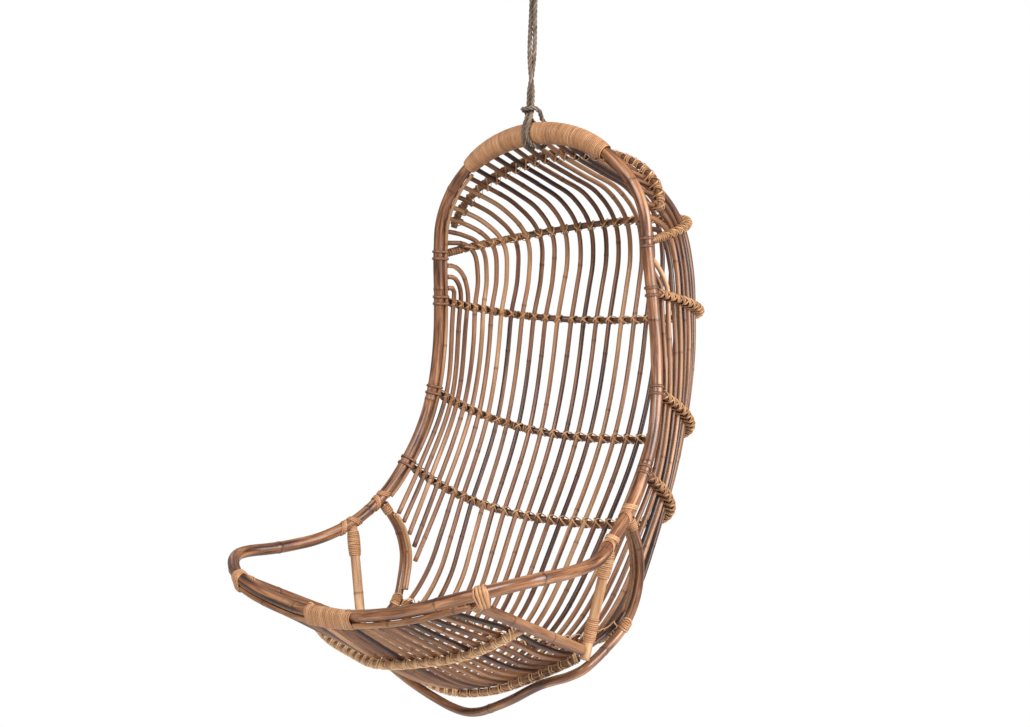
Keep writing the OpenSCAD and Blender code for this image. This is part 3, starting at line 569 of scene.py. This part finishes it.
def cane_piece(name, node_names, finish, gap, sides, seed, swell=0.07, shades=(-0.8, 0.8), step=0.009):
    """Canes that stand for the nodes, each with its own shade. It gives back their lines and radii."""
    canes = new_canes()
    chance = random.Random(seed)
    lines = []
    for node_name in node_names:
        for line, radius in centre_lines(node_name):
            kept, radii, rings = grown(line, radius, gap, chance.random(), swell, step=step)
            add_cane(canes, kept, radii, sides, chance.uniform(*shades), rings)
            lines.append((kept, radius))
    stands_for(finished(canes, name, finish), *node_names)
    return lines


rim_line, RIM_R = cane_piece("rim_cane", ["rim_pole"], rattan_pole, 0.27, 20, 3, shades=(0.0, 0.1))[0]

# ---- Base loop and its side canes ----
# A second bark-on pole runs under the seat and up both sides to the rim, with two thin peeled canes
# bound beside each side arc.
base_line, BASE_R = cane_piece("base_cane", ["base_loop"], rattan_pole, 0.30, 18, 8, shades=(-0.2, -0.1))[0]
rattan_cane = fibre_finish(
    "rattan cane",
    [
        (0.035, 0.011, 0.005),
        (0.13, 0.0475, 0.019),
        (0.262, 0.112, 0.0482),
        (0.385, 0.19, 0.0877),
        (0.56, 0.318, 0.163),
    ],
    rough=0.45, fibre=(26, 1100), blotch=(3.2, 70), bump=0.3, coat=0.2,
)
cane_piece("arc_side_canes", ["arc_companions"], rattan_cane, 0.21, 10, 14, shades=(0.6, 1.0))

# ---- Hoops ----
# Five 15 mm canes bow out behind the rim and carry the back, and three more hang under the seat. They are
# darker than the ribs and are lashed to them where they cross.
hoop_lines = {}
rattan_hoop = fibre_finish(
    "rattan hoop",
    [
        (0.022, 0.007, 0.003),
        (0.07, 0.024, 0.009),
        (0.14, 0.0551, 0.022),
        (0.25, 0.112, 0.0482),
        (0.42, 0.223, 0.11),
    ],
    rough=0.46, fibre=(24, 900), blotch=(4.0, 60), bump=0.3, coat=0.2,
)
BACK_HOOPS = ["hoop_1", "hoop_2", "hoop_3", "hoop_4", "hoop_5"]
HOOPS = BACK_HOOPS + ["seat_hoop_rear", "seat_hoop_middle", "seat_hoop_front"]
HOOP_SHADES = {"hoop_1": (0.5, 0.6), "seat_hoop_middle": (1.0, 1.1), "seat_hoop_front": (1.2, 1.3)}
for number, hoop_name in enumerate(HOOPS):
    hoop_shade = HOOP_SHADES.get(hoop_name, (-0.3, 0.2))
    hoop_finish = rattan_cane if hoop_name == "seat_hoop_front" else rattan_hoop
    hoop_lines[hoop_name] = cane_piece(
        hoop_name + "_cane", [hoop_name], hoop_finish, 0.24, 14, 20 + number, shades=hoop_shade
    )[0]

# ---- Ribs and liner ----
# Thirty-five 11 mm canes run from the arch over the hoops, down the back and forward under the seat. A
# thin liner cane lies along the inside of the rim and takes the ones that start lower down.
rib_lines = []
for number in range(18):
    rib_name = f"rib_{number:02d}"
    lines = cane_piece(
        rib_name + "_cane", [rib_name], rattan_cane, 0.25, 10, 40 + number, shades=(-1.3, 0.9), step=0.011
    )
    rib_lines += [(line, radius, number) for line, radius in lines]
liner_lines = cane_piece("liner_cane", ["rim_liner"], rattan_cane, 0.22, 10, 70, shades=(0.2, 0.6))

# ---- Arm posts, front braces and front cane ----
# The posts are 21 mm poles with the bark peeled off, the braces 22 mm poles with a knuckle or two, and a
# 12 mm cane is bound under the front rail and takes the ribs' ends.
peeled_pole = fibre_finish(
    "peeled pole",
    [(0.2, 0.0836, 0.0335), (0.35, 0.169, 0.0757), (0.5, 0.275, 0.133), (0.64, 0.389, 0.211)],
    rough=0.48, fibre=(20, 700), blotch=(5, 60), bump=0.3, coat=0.15,
)
brace_pole = fibre_finish(
    "brace pole",
    [(0.06, 0.019, 0.008), (0.2, 0.0808, 0.0318), (0.34, 0.16, 0.0688), (0.48, 0.257, 0.125)],
    rough=0.45, fibre=(20, 700), blotch=(6, 50), bump=0.35, coat=0.2,
)


def on_chair(half_width, depth, drop):
    """A place on the chair as it hangs, leaning back under the rope."""
    c, s = math.cos(LEAN), math.sin(LEAN)
    return Vector((half_width, depth * c + drop * s, depth * s - drop * c)) + Vector((0, 0.014, -HANG_DROP))


# Where a post meets the rim: half-width, depth and drop.
POST_TOP = (0.364, -0.188, 0.836)
BRACE_SHADES = {"left": (-0.9, -0.7), "right": (0.1, 0.3)}
post_lines, brace_lines = {}, {}
for side, way in (("left", -1), ("right", 1)):
    post_node = "arm_post_" + side
    ends, post_r = centre_lines(post_node)[0]
    foot = min(ends, key=lambda p: p.z)
    top = on_chair(way * POST_TOP[0], *POST_TOP[1:])
    line, radii, rings = grown([foot, top], post_r, 0.16, 0.8 + 0.1 * way, swell=0.03)
    post = new_canes()
    add_cane(post, line[:-1], radii, 18, 0.3, rings)
    stands_for(finished(post, post_node + "_pole", peeled_pole), post_node)
    # The line ends where the post meets the rim's underside.
    post_lines[side] = ([p for p in line if (p - line[-1]).length > RIM_R], post_r)
    brace_node = "front_brace_" + side
    brace_lines[side] = cane_piece(
        brace_node + "_pole", [brace_node], brace_pole, 0.11, 18, 91, swell=0.06, shades=BRACE_SHADES[side]
    )[0]
front_cane_line, FRONT_CANE_R = cane_piece(
    "front_under_cane", ["front_cane"], brace_pole, 0.19, 12, 95, shades=(0.1, 0.5)
)[0]

# ---- Arch binding ----
# The top of the arch is padded with bark strips and bound with about a hundred turns of split cane core,
# pale and satiny, from 48 mm thick in the middle down to 31 mm at the ends. The pad is coloured the
# darkest brown of the peel, as painted shade in the narrow gaps between the turns.
WRAP_HALF_W, WRAP_RISE, WRAP_ANGLE = 0.294, 0.225, 41
WRAP_MID_R, WRAP_END_R = 0.024, 0.0155
WRAP_T = 0.0013
WRAP_LEAN = 0.05
ARCH_STEPS, ARCH_TURNS = 60, 104
PAD_INSET = 0.0012
core_peel = fibre_finish(
    "core peel",
    [(0.27, 0.119, 0.0473), (0.42, 0.199, 0.0877), (0.53, 0.271, 0.127), (0.66, 0.37, 0.189)],
    rough=0.5, fibre=(60, 1500), blotch=(14, 90), bump=0.3, coat=0.1,
)


def arch_at(angle):
    """A place on the middle line of the arch, at the angle from its top."""
    a = math.radians(angle)
    depth = 0.001 + 0.011 * (1 - math.cos(a))
    return on_chair(WRAP_HALF_W * math.sin(a), depth, WRAP_RISE * (1 - math.cos(a)))


arch_line = [arch_at(WRAP_ANGLE * i / ARCH_STEPS) for i in range(-ARCH_STEPS, ARCH_STEPS + 1)]
arch_far = distances(arch_line)
arch_ways = cross_ways(arch_line)
groove_shade_pad = new_canes()
half_length = arch_far[-1] / 2


def wrap_radius(s):
    """The radius over the binding, at s along it."""
    q = min(1.0, abs(s - half_length) / half_length)
    return WRAP_END_R + (WRAP_MID_R - WRAP_END_R) * math.sqrt(1 - q * q)


# The shade of -3.0 gives the pad the darkest colour of the peel: painted shade in the gaps between turns.
add_cane(groove_shade_pad, arch_line[1:-1], [wrap_radius(s) - PAD_INSET for s in arch_far[1:-1]], 28, shade=-3.0)
stands_for(finished(groove_shade_pad, "arch_pad_painted_shade", core_peel), "arch_padding")
binding = new_canes()
chance = random.Random(5)
# Each turn is a little narrower than its share of the arch, so the pad's painted shade shows between turns.
for i in range(ARCH_TURNS):
    s = arch_far[-1] * (i + 0.5) / ARCH_TURNS
    j = min(range(len(arch_far)), key=lambda m: abs(arch_far[m] - s))
    at = arch_line[j] + arch_ways[j][0] * (s - arch_far[j])
    heading = arch_ways[j][0] + Vector((0, WRAP_LEAN, 0)) + Vector((0, 0, chance.uniform(-0.012, 0.012)))
    heading.normalize()
    u = heading.cross(Vector((0, 1, 0))).normalized()
    r = wrap_radius(s) - WRAP_T
    add_turn(
        binding, at, u, heading.cross(u), [(0, 0, r, r)], arch_far[-1] / ARCH_TURNS * 0.93,
        WRAP_T * chance.uniform(0.8, 1.1), chance.uniform(-0.35, 0.35), 28, 0.0,
    )
stands_for(finished(binding, "arch_binding", core_peel), "arch_wrap")

# ---- Lashings where ribs cross hoops ----
# Each crossing is bound with a 4 mm strip of cane peel. On the back it crosses over the rib both ways, under
# the seat it goes twice round the same way, and in places it winds on round the hoop between the ribs.
lashing_peel = fibre_finish(
    "lashing peel",
    [(0.27, 0.123, 0.0473), (0.46, 0.237, 0.101), (0.62, 0.351, 0.168), (0.74, 0.465, 0.245)],
    rough=0.5, fibre=(80, 1800), blotch=(25, 200), bump=0.3, coat=0.1,
)
STRIP_W, STRIP_T, STRIP_LIFT = 0.0038, 0.0012, 0.0003
# Turns round the hoop between two neighbouring ribs; the other back hoops have SIDE_COILS, at the sides only.
COILS = {"hoop_1": 2, "seat_hoop_middle": 1, "seat_hoop_front": 2}
SIDE_COILS = 2
SIDE_X = 0.23
COIL_PITCH, END_PITCH = 0.0042, 0.0075
COIL_ROOM = 0.045
END_CLEAR, HOOP_END_CLEAR = 0.012, 0.004
PAIR_PITCH = 0.0062
CROSSING_REACH = 0.006
# The lashings are darker the further out they lie past DARK_X.
DARKER, DARK_X = 9, 0.2
# The outermost rib that is lashed to each hoop of the back, and to the hoops under the seat.
OUTERMOST_RIB = {"hoop_1": 12, "hoop_2": 14, "hoop_3": 17, "hoop_4": 17, "hoop_5": 17}
SEAT_OUTERMOST_RIB = 12


def crossings_of(hoop_line, hoop_r, outermost):
    """Where the ribs cross a hoop, in order: how far along it, its place and heading, the rib's heading, the
    way from hoop to rib, the distance between them and the rib's radius."""
    hoop_at = np.array([tuple(p) for p in hoop_line])
    found = []
    for line, radius, number in rib_lines:
        if number > outermost:
            continue
        rib_at = np.array([tuple(p) for p in line])
        apart = np.linalg.norm(hoop_at[:, None, :] - rib_at[None, :, :], axis=2)
        i, j = np.unravel_index(apart.argmin(), apart.shape)
        if apart[i, j] > hoop_r + radius + CROSSING_REACH:
            continue
        h = (hoop_line[min(i + 1, len(hoop_line) - 1)] - hoop_line[max(i - 1, 0)]).normalized()
        w = (line[min(j + 1, len(line) - 1)] - line[max(j - 1, 0)]).normalized()
        over = h.cross(w).normalized()
        gap = line[j] - hoop_line[i]
        # The nearest places of the two straight lines through these points.
        side = gap - over * gap.dot(over)
        hw = h.dot(w)
        s = (side.dot(h) - side.dot(w) * hw) / (1 - hw * hw)
        if gap.dot(over) < 0:
            over = -over
        along = s + distances(hoop_line)[i]
        found.append((along, hoop_line[i] + h * s, h, w, over, abs(gap.dot(over)), radius))
    return sorted(found, key=lambda c: c[0])


for number, hoop_name in enumerate(HOOPS):
    hoop_line, hoop_r = hoop_lines[hoop_name]
    chance = random.Random(200 + number)
    on_back = hoop_name in BACK_HOOPS
    ways, pair_pitch, layer = ((1, -1), 0.0, STRIP_T) if on_back else ((1, 1), PAIR_PITCH, 0.0)
    crossing_shade, coil_shade = (0.0, -1.2) if on_back else (2.2, 2.2)
    strips = new_canes()
    crossed = crossings_of(hoop_line, hoop_r, OUTERMOST_RIB.get(hoop_name, SEAT_OUTERMOST_RIB))
    for s, at, h, w, over, lift, rib_r in crossed:
        for turn, way in enumerate(ways):
            slant = (h + w * way * chance.uniform(0.9, 1.1)).normalized()
            slant = (slant - over * slant.dot(over)).normalized()
            across_h = max(0.35, math.sqrt(max(0.0, 1 - slant.dot(h) ** 2)))
            across_w = max(0.35, math.sqrt(max(0.0, 1 - slant.dot(w) ** 2)))
            shade = chance.uniform(-0.5, 0.9) + crossing_shade - DARKER * max(0.0, abs(at.x) - DARK_X)
            add_turn(
                strips, at + h * (turn - 0.5) * pair_pitch, slant, over,
                [(0, 0, hoop_r / across_h, hoop_r), (0, lift, rib_r / across_w, rib_r)],
                STRIP_W, STRIP_T, shade, 16, STRIP_LIFT + turn * layer,
            )
    hoop_far = distances(hoop_line)
    spots = []
    for before, after in zip(crossed, crossed[1:]):
        middle, room = (before[0] + after[0]) / 2, after[0] - before[0]
        if room < COIL_ROOM:
            at_side = on_back and abs(before[1].x + after[1].x) / 2 > SIDE_X
            count = COILS.get(hoop_name, SIDE_COILS if at_side else 0)
            spots += [middle + (k - (count - 1) / 2) * COIL_PITCH for k in range(count)]
    if hoop_name in BACK_HOOPS[1:]:
        first, final = crossed[0][0], crossed[-1][0]
        for low, high in (
            (HOOP_END_CLEAR, first - END_CLEAR),
            (final + END_CLEAR, hoop_far[-1] - HOOP_END_CLEAR),
        ):
            count = max(0, round((high - low) / END_PITCH))
            spots += [low + (high - low) * (k + 0.5) / count for k in range(count)]
    for s in spots:
        j = min(range(len(hoop_far)), key=lambda m: abs(hoop_far[m] - s))
        h = (hoop_line[min(j + 1, len(hoop_line) - 1)] - hoop_line[max(j - 1, 0)]).normalized()
        at = hoop_line[j] + h * (s - hoop_far[j])
        lean = h.orthogonal().normalized()
        axis = (h + lean * chance.uniform(0.1, 0.28)).normalized()
        u = axis.cross(lean).normalized()
        add_turn(
            strips, at, u, axis.cross(u), [(0, 0, hoop_r, hoop_r * 1.02)], STRIP_W, STRIP_T,
            chance.uniform(-0.8, 0.8) + coil_shade, 12, STRIP_LIFT,
        )
    stands_for(finished(strips, hoop_name + "_strips", lashing_peel), hoop_name + "_lashing")


# ---- Bindings of the frame ----
# Wider strips of peel, wound tight: over the front rail and the cane under it, round both ends of the
# posts, round the tops of the side arcs, and either side of every piece that is tied to the rim.
def place_at(line, s):
    """The place at s along the line, and its heading there."""
    far = distances(line)
    i = max(0, min(len(far) - 2, sum(1 for f in far if f <= s) - 1))
    t = (s - far[i]) / (far[i + 1] - far[i])
    return line[i].lerp(line[i + 1], t), (line[min(i + 2, len(line) - 1)] - line[max(i - 1, 0)]).normalized()


def nearest_on(line, point):
    """How far along the line the point is nearest to it."""
    far = distances(line)
    i = min(range(len(line)), key=lambda m: (line[m] - point).length)
    return far[i]


def wind(
    turns, line, start, end, width, radius, thick=0.0012, beside=None, slant=0.0, seed=1, columns=16,
    lift=0.0002, bulge=0.0, toward=None,
):
    """Turns side by side along a pole from start to end; beside gives a second pole's line and radius."""
    chance = random.Random(seed)
    count = max(1, round(abs(end - start) / width))
    for i in range(count):
        at, heading = place_at(line, start + (end - start) * (i + 0.5) / count)
        longer = math.hypot(1, slant)
        out = radius + bulge * math.sqrt(math.sin(math.pi * (i + 0.5) / count))
        if beside is None:
            u = (heading.cross(toward) if toward else heading.orthogonal()).normalized()
            rounds = [(0, 0, out, out * longer)]
        else:
            other, other_r = beside
            nearest = min(other, key=lambda p: (p - at).length)
            gap = nearest - at
            gap -= heading * gap.dot(heading)
            u = gap.normalized()
            rounds = [(0, 0, radius, radius * longer), (gap.length, 0, other_r, other_r * longer)]
        sideways = heading.cross(u) * (slant + chance.uniform(-0.02, 0.02))
        axis = (heading + sideways + u * chance.uniform(-0.02, 0.02)).normalized()
        u = (u - axis * u.dot(axis)).normalized()
        add_turn(
            turns, at, u, axis.cross(u), rounds, width * 0.94, thick * chance.uniform(0.85, 1.1),
            chance.uniform(-0.5, 0.5), columns, lift,
        )


FRONT_HALF_WRAP = 0.065
# Where the front cane's ties start and end, in from its ends, and how far each layer of a tie lies out.
CANE_TIE = (0.018, 0.036)
TIE_LAYER = 0.0011
front_cane = (front_cane_line, FRONT_CANE_R)
front_mid = nearest_on(rim_line, on_chair(0, -0.584, 0.972))
front_turns = new_canes()
wind(
    front_turns, rim_line, front_mid - FRONT_HALF_WRAP, front_mid + FRONT_HALF_WRAP, 0.005, RIM_R,
    beside=front_cane, slant=0.06, seed=31, columns=28,
)
for way in (-1, 1):
    cane_end = front_cane_line[0] if way < 0 else front_cane_line[-1]
    tie_at = nearest_on(rim_line, cane_end)
    inward = 1 if tie_at < front_mid else -1
    for layer, slant in enumerate((0.5, -0.5, 0.1)):
        wind(
            front_turns, rim_line, tie_at + inward * CANE_TIE[0], tie_at + inward * CANE_TIE[1], 0.0058,
            RIM_R, beside=front_cane, slant=slant, seed=33 + layer, columns=28,
            lift=0.0002 + TIE_LAYER * layer,
        )
    line, radius = brace_lines["left" if way < 0 else "right"]
    top_first = line if line[0].z > line[-1].z else line[::-1]
    wind(front_turns, top_first, 0.003, 0.026, 0.0056, radius, slant=0.15, seed=37)
stands_for(finished(front_turns, "front_bindings", core_peel), "front_wraps")

post_turns = new_canes()
for side, (line, radius) in post_lines.items():
    top_first = line if line[0].z > line[-1].z else line[::-1]
    wind(post_turns, top_first, 0.001, 0.055, 0.0040, radius, seed=41, bulge=0.0022)
    if side == "right":
        length = distances(top_first)[-1]
        wind(post_turns, top_first, length - 0.083, length - 0.037, 0.0040, radius, seed=43, bulge=0.0010)
stands_for(finished(post_turns, "post_bindings", core_peel), "post_wraps")

collars = new_canes()
base_far = distances(base_line)
for start, end in ((0.001, 0.026), (base_far[-1] - 0.026, base_far[-1] - 0.001)):
    wind(collars, base_line, start, end, 0.0048, BASE_R, seed=47)
rear_line = hoop_lines["seat_hoop_rear"][0]
for end in (rear_line[0], rear_line[-1]):
    at = nearest_on(base_line, end)
    for layer, slant in enumerate((0.55, -0.55)):
        wind(
            collars, base_line, at - 0.010, at + 0.010, 0.0050, BASE_R, slant=slant, seed=51 + layer,
            lift=0.0002 + TIE_LAYER * layer,
        )
stands_for(finished(collars, "arc_bindings", core_peel), "arc_collars")

BAND_NEAR, BAND_FAR = 0.0042, 0.0112
tie_turns = new_canes()
for hoop_name in BACK_HOOPS[1:]:
    line = hoop_lines[hoop_name][0]
    for end in (line[0], line[-1]):
        at = nearest_on(rim_line, end)
        side = 0 if liner_lines[0][0][0].x * end.x > 0 else 1
        for low, high in ((at - BAND_FAR, at - BAND_NEAR), (at + BAND_NEAR, at + BAND_FAR)):
            wind(
                tie_turns, rim_line, low, high, 0.0070, RIM_R, thick=0.0022, beside=liner_lines[side], seed=61
            )
stands_for(finished(tie_turns, "hoop_end_strips", rattan_cane), "hoop_end_bands")

RIM_TIE_NEAR, RIM_TIE_FAR = 0.0085, 0.0211
rim_turns = new_canes()
arc_tops = [(base_line[0], base_line[1]), (base_line[-1], base_line[-2])]
post_tops = [(line[-1], line[-2]) for line, _ in post_lines.values()]
for top, below in arc_tops + post_tops:
    at = nearest_on(rim_line, top)
    for side in (-1, 1):
        wind(
            rim_turns, rim_line, at + side * RIM_TIE_NEAR, at + side * RIM_TIE_FAR, 0.0042, RIM_R,
            thick=0.0016, slant=0.6 * side, seed=65 + side, toward=(below - top).normalized(),
        )
stands_for(finished(rim_turns, "rim_tie_strips", core_peel), "rim_ties")

# ---- Floor, backdrop and light ----
# A pale round floor under the chair and a white surround, lit softly from all round, with one large light
# in front and above and another at the side towards +X.
disc = bmesh.new()
bmesh.ops.create_circle(disc, cap_ends=True, segments=96, radius=2.3)
floor_mesh = bpy.data.meshes.new("floor")
disc.to_mesh(floor_mesh)
disc.free()
floor = bpy.data.objects.new("floor", floor_mesh)
floor.location = (0, 0, -2.4)
bpy.context.scene.collection.objects.link(floor)
floor_paint = bpy.data.materials.new("floor paint")
floor_paint.use_nodes = True
floor_paint.node_tree.nodes["Principled BSDF"].inputs["Base Color"].default_value = (0.9, 0.9, 0.9, 1)
floor_paint.node_tree.nodes["Principled BSDF"].inputs["Roughness"].default_value = 0.9
floor_mesh.materials.append(floor_paint)
floor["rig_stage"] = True
world = bpy.data.worlds.new("studio")
bpy.context.scene.world = world
world.use_nodes = True
soft_light = world.node_tree.nodes["Background"]
soft_light.inputs["Color"].default_value = (1, 1, 1, 1)
soft_light.inputs["Strength"].default_value = 0.36
white_surround = world.node_tree.nodes.new("ShaderNodeBackground")
white_surround.inputs["Color"].default_value = (1, 1, 1, 1)
white_surround.inputs["Strength"].default_value = 1.0
which_ray = world.node_tree.nodes.new("ShaderNodeLightPath")
surround = world.node_tree.nodes.new("ShaderNodeMixShader")
world.node_tree.links.new(which_ray.outputs["Is Camera Ray"], surround.inputs["Fac"])
world.node_tree.links.new(soft_light.outputs[0], surround.inputs[1])
world.node_tree.links.new(white_surround.outputs[0], surround.inputs[2])
world.node_tree.links.new(surround.outputs[0], world.node_tree.nodes["World Output"].inputs["Surface"])
for name, place, size, power, target in (
    ("key", (1.6, -4.4, 1.7), 1.8, 235, (0, 0, -1.0)),
    ("fill", (3.9, 0.6, 0.2), 2.2, 215, (0, 0, -1.0)),
):
    lamp = bpy.data.lights.new(name, "AREA")
    lamp.size = size
    lamp.energy = power
    lamp_object = bpy.data.objects.new(name, lamp)
    lamp_object.location = place
    lamp_object.rotation_euler = (Vector(target) - Vector(place)).to_track_quat("-Z", "Y").to_euler()
    bpy.context.scene.collection.objects.link(lamp_object)

low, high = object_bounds()
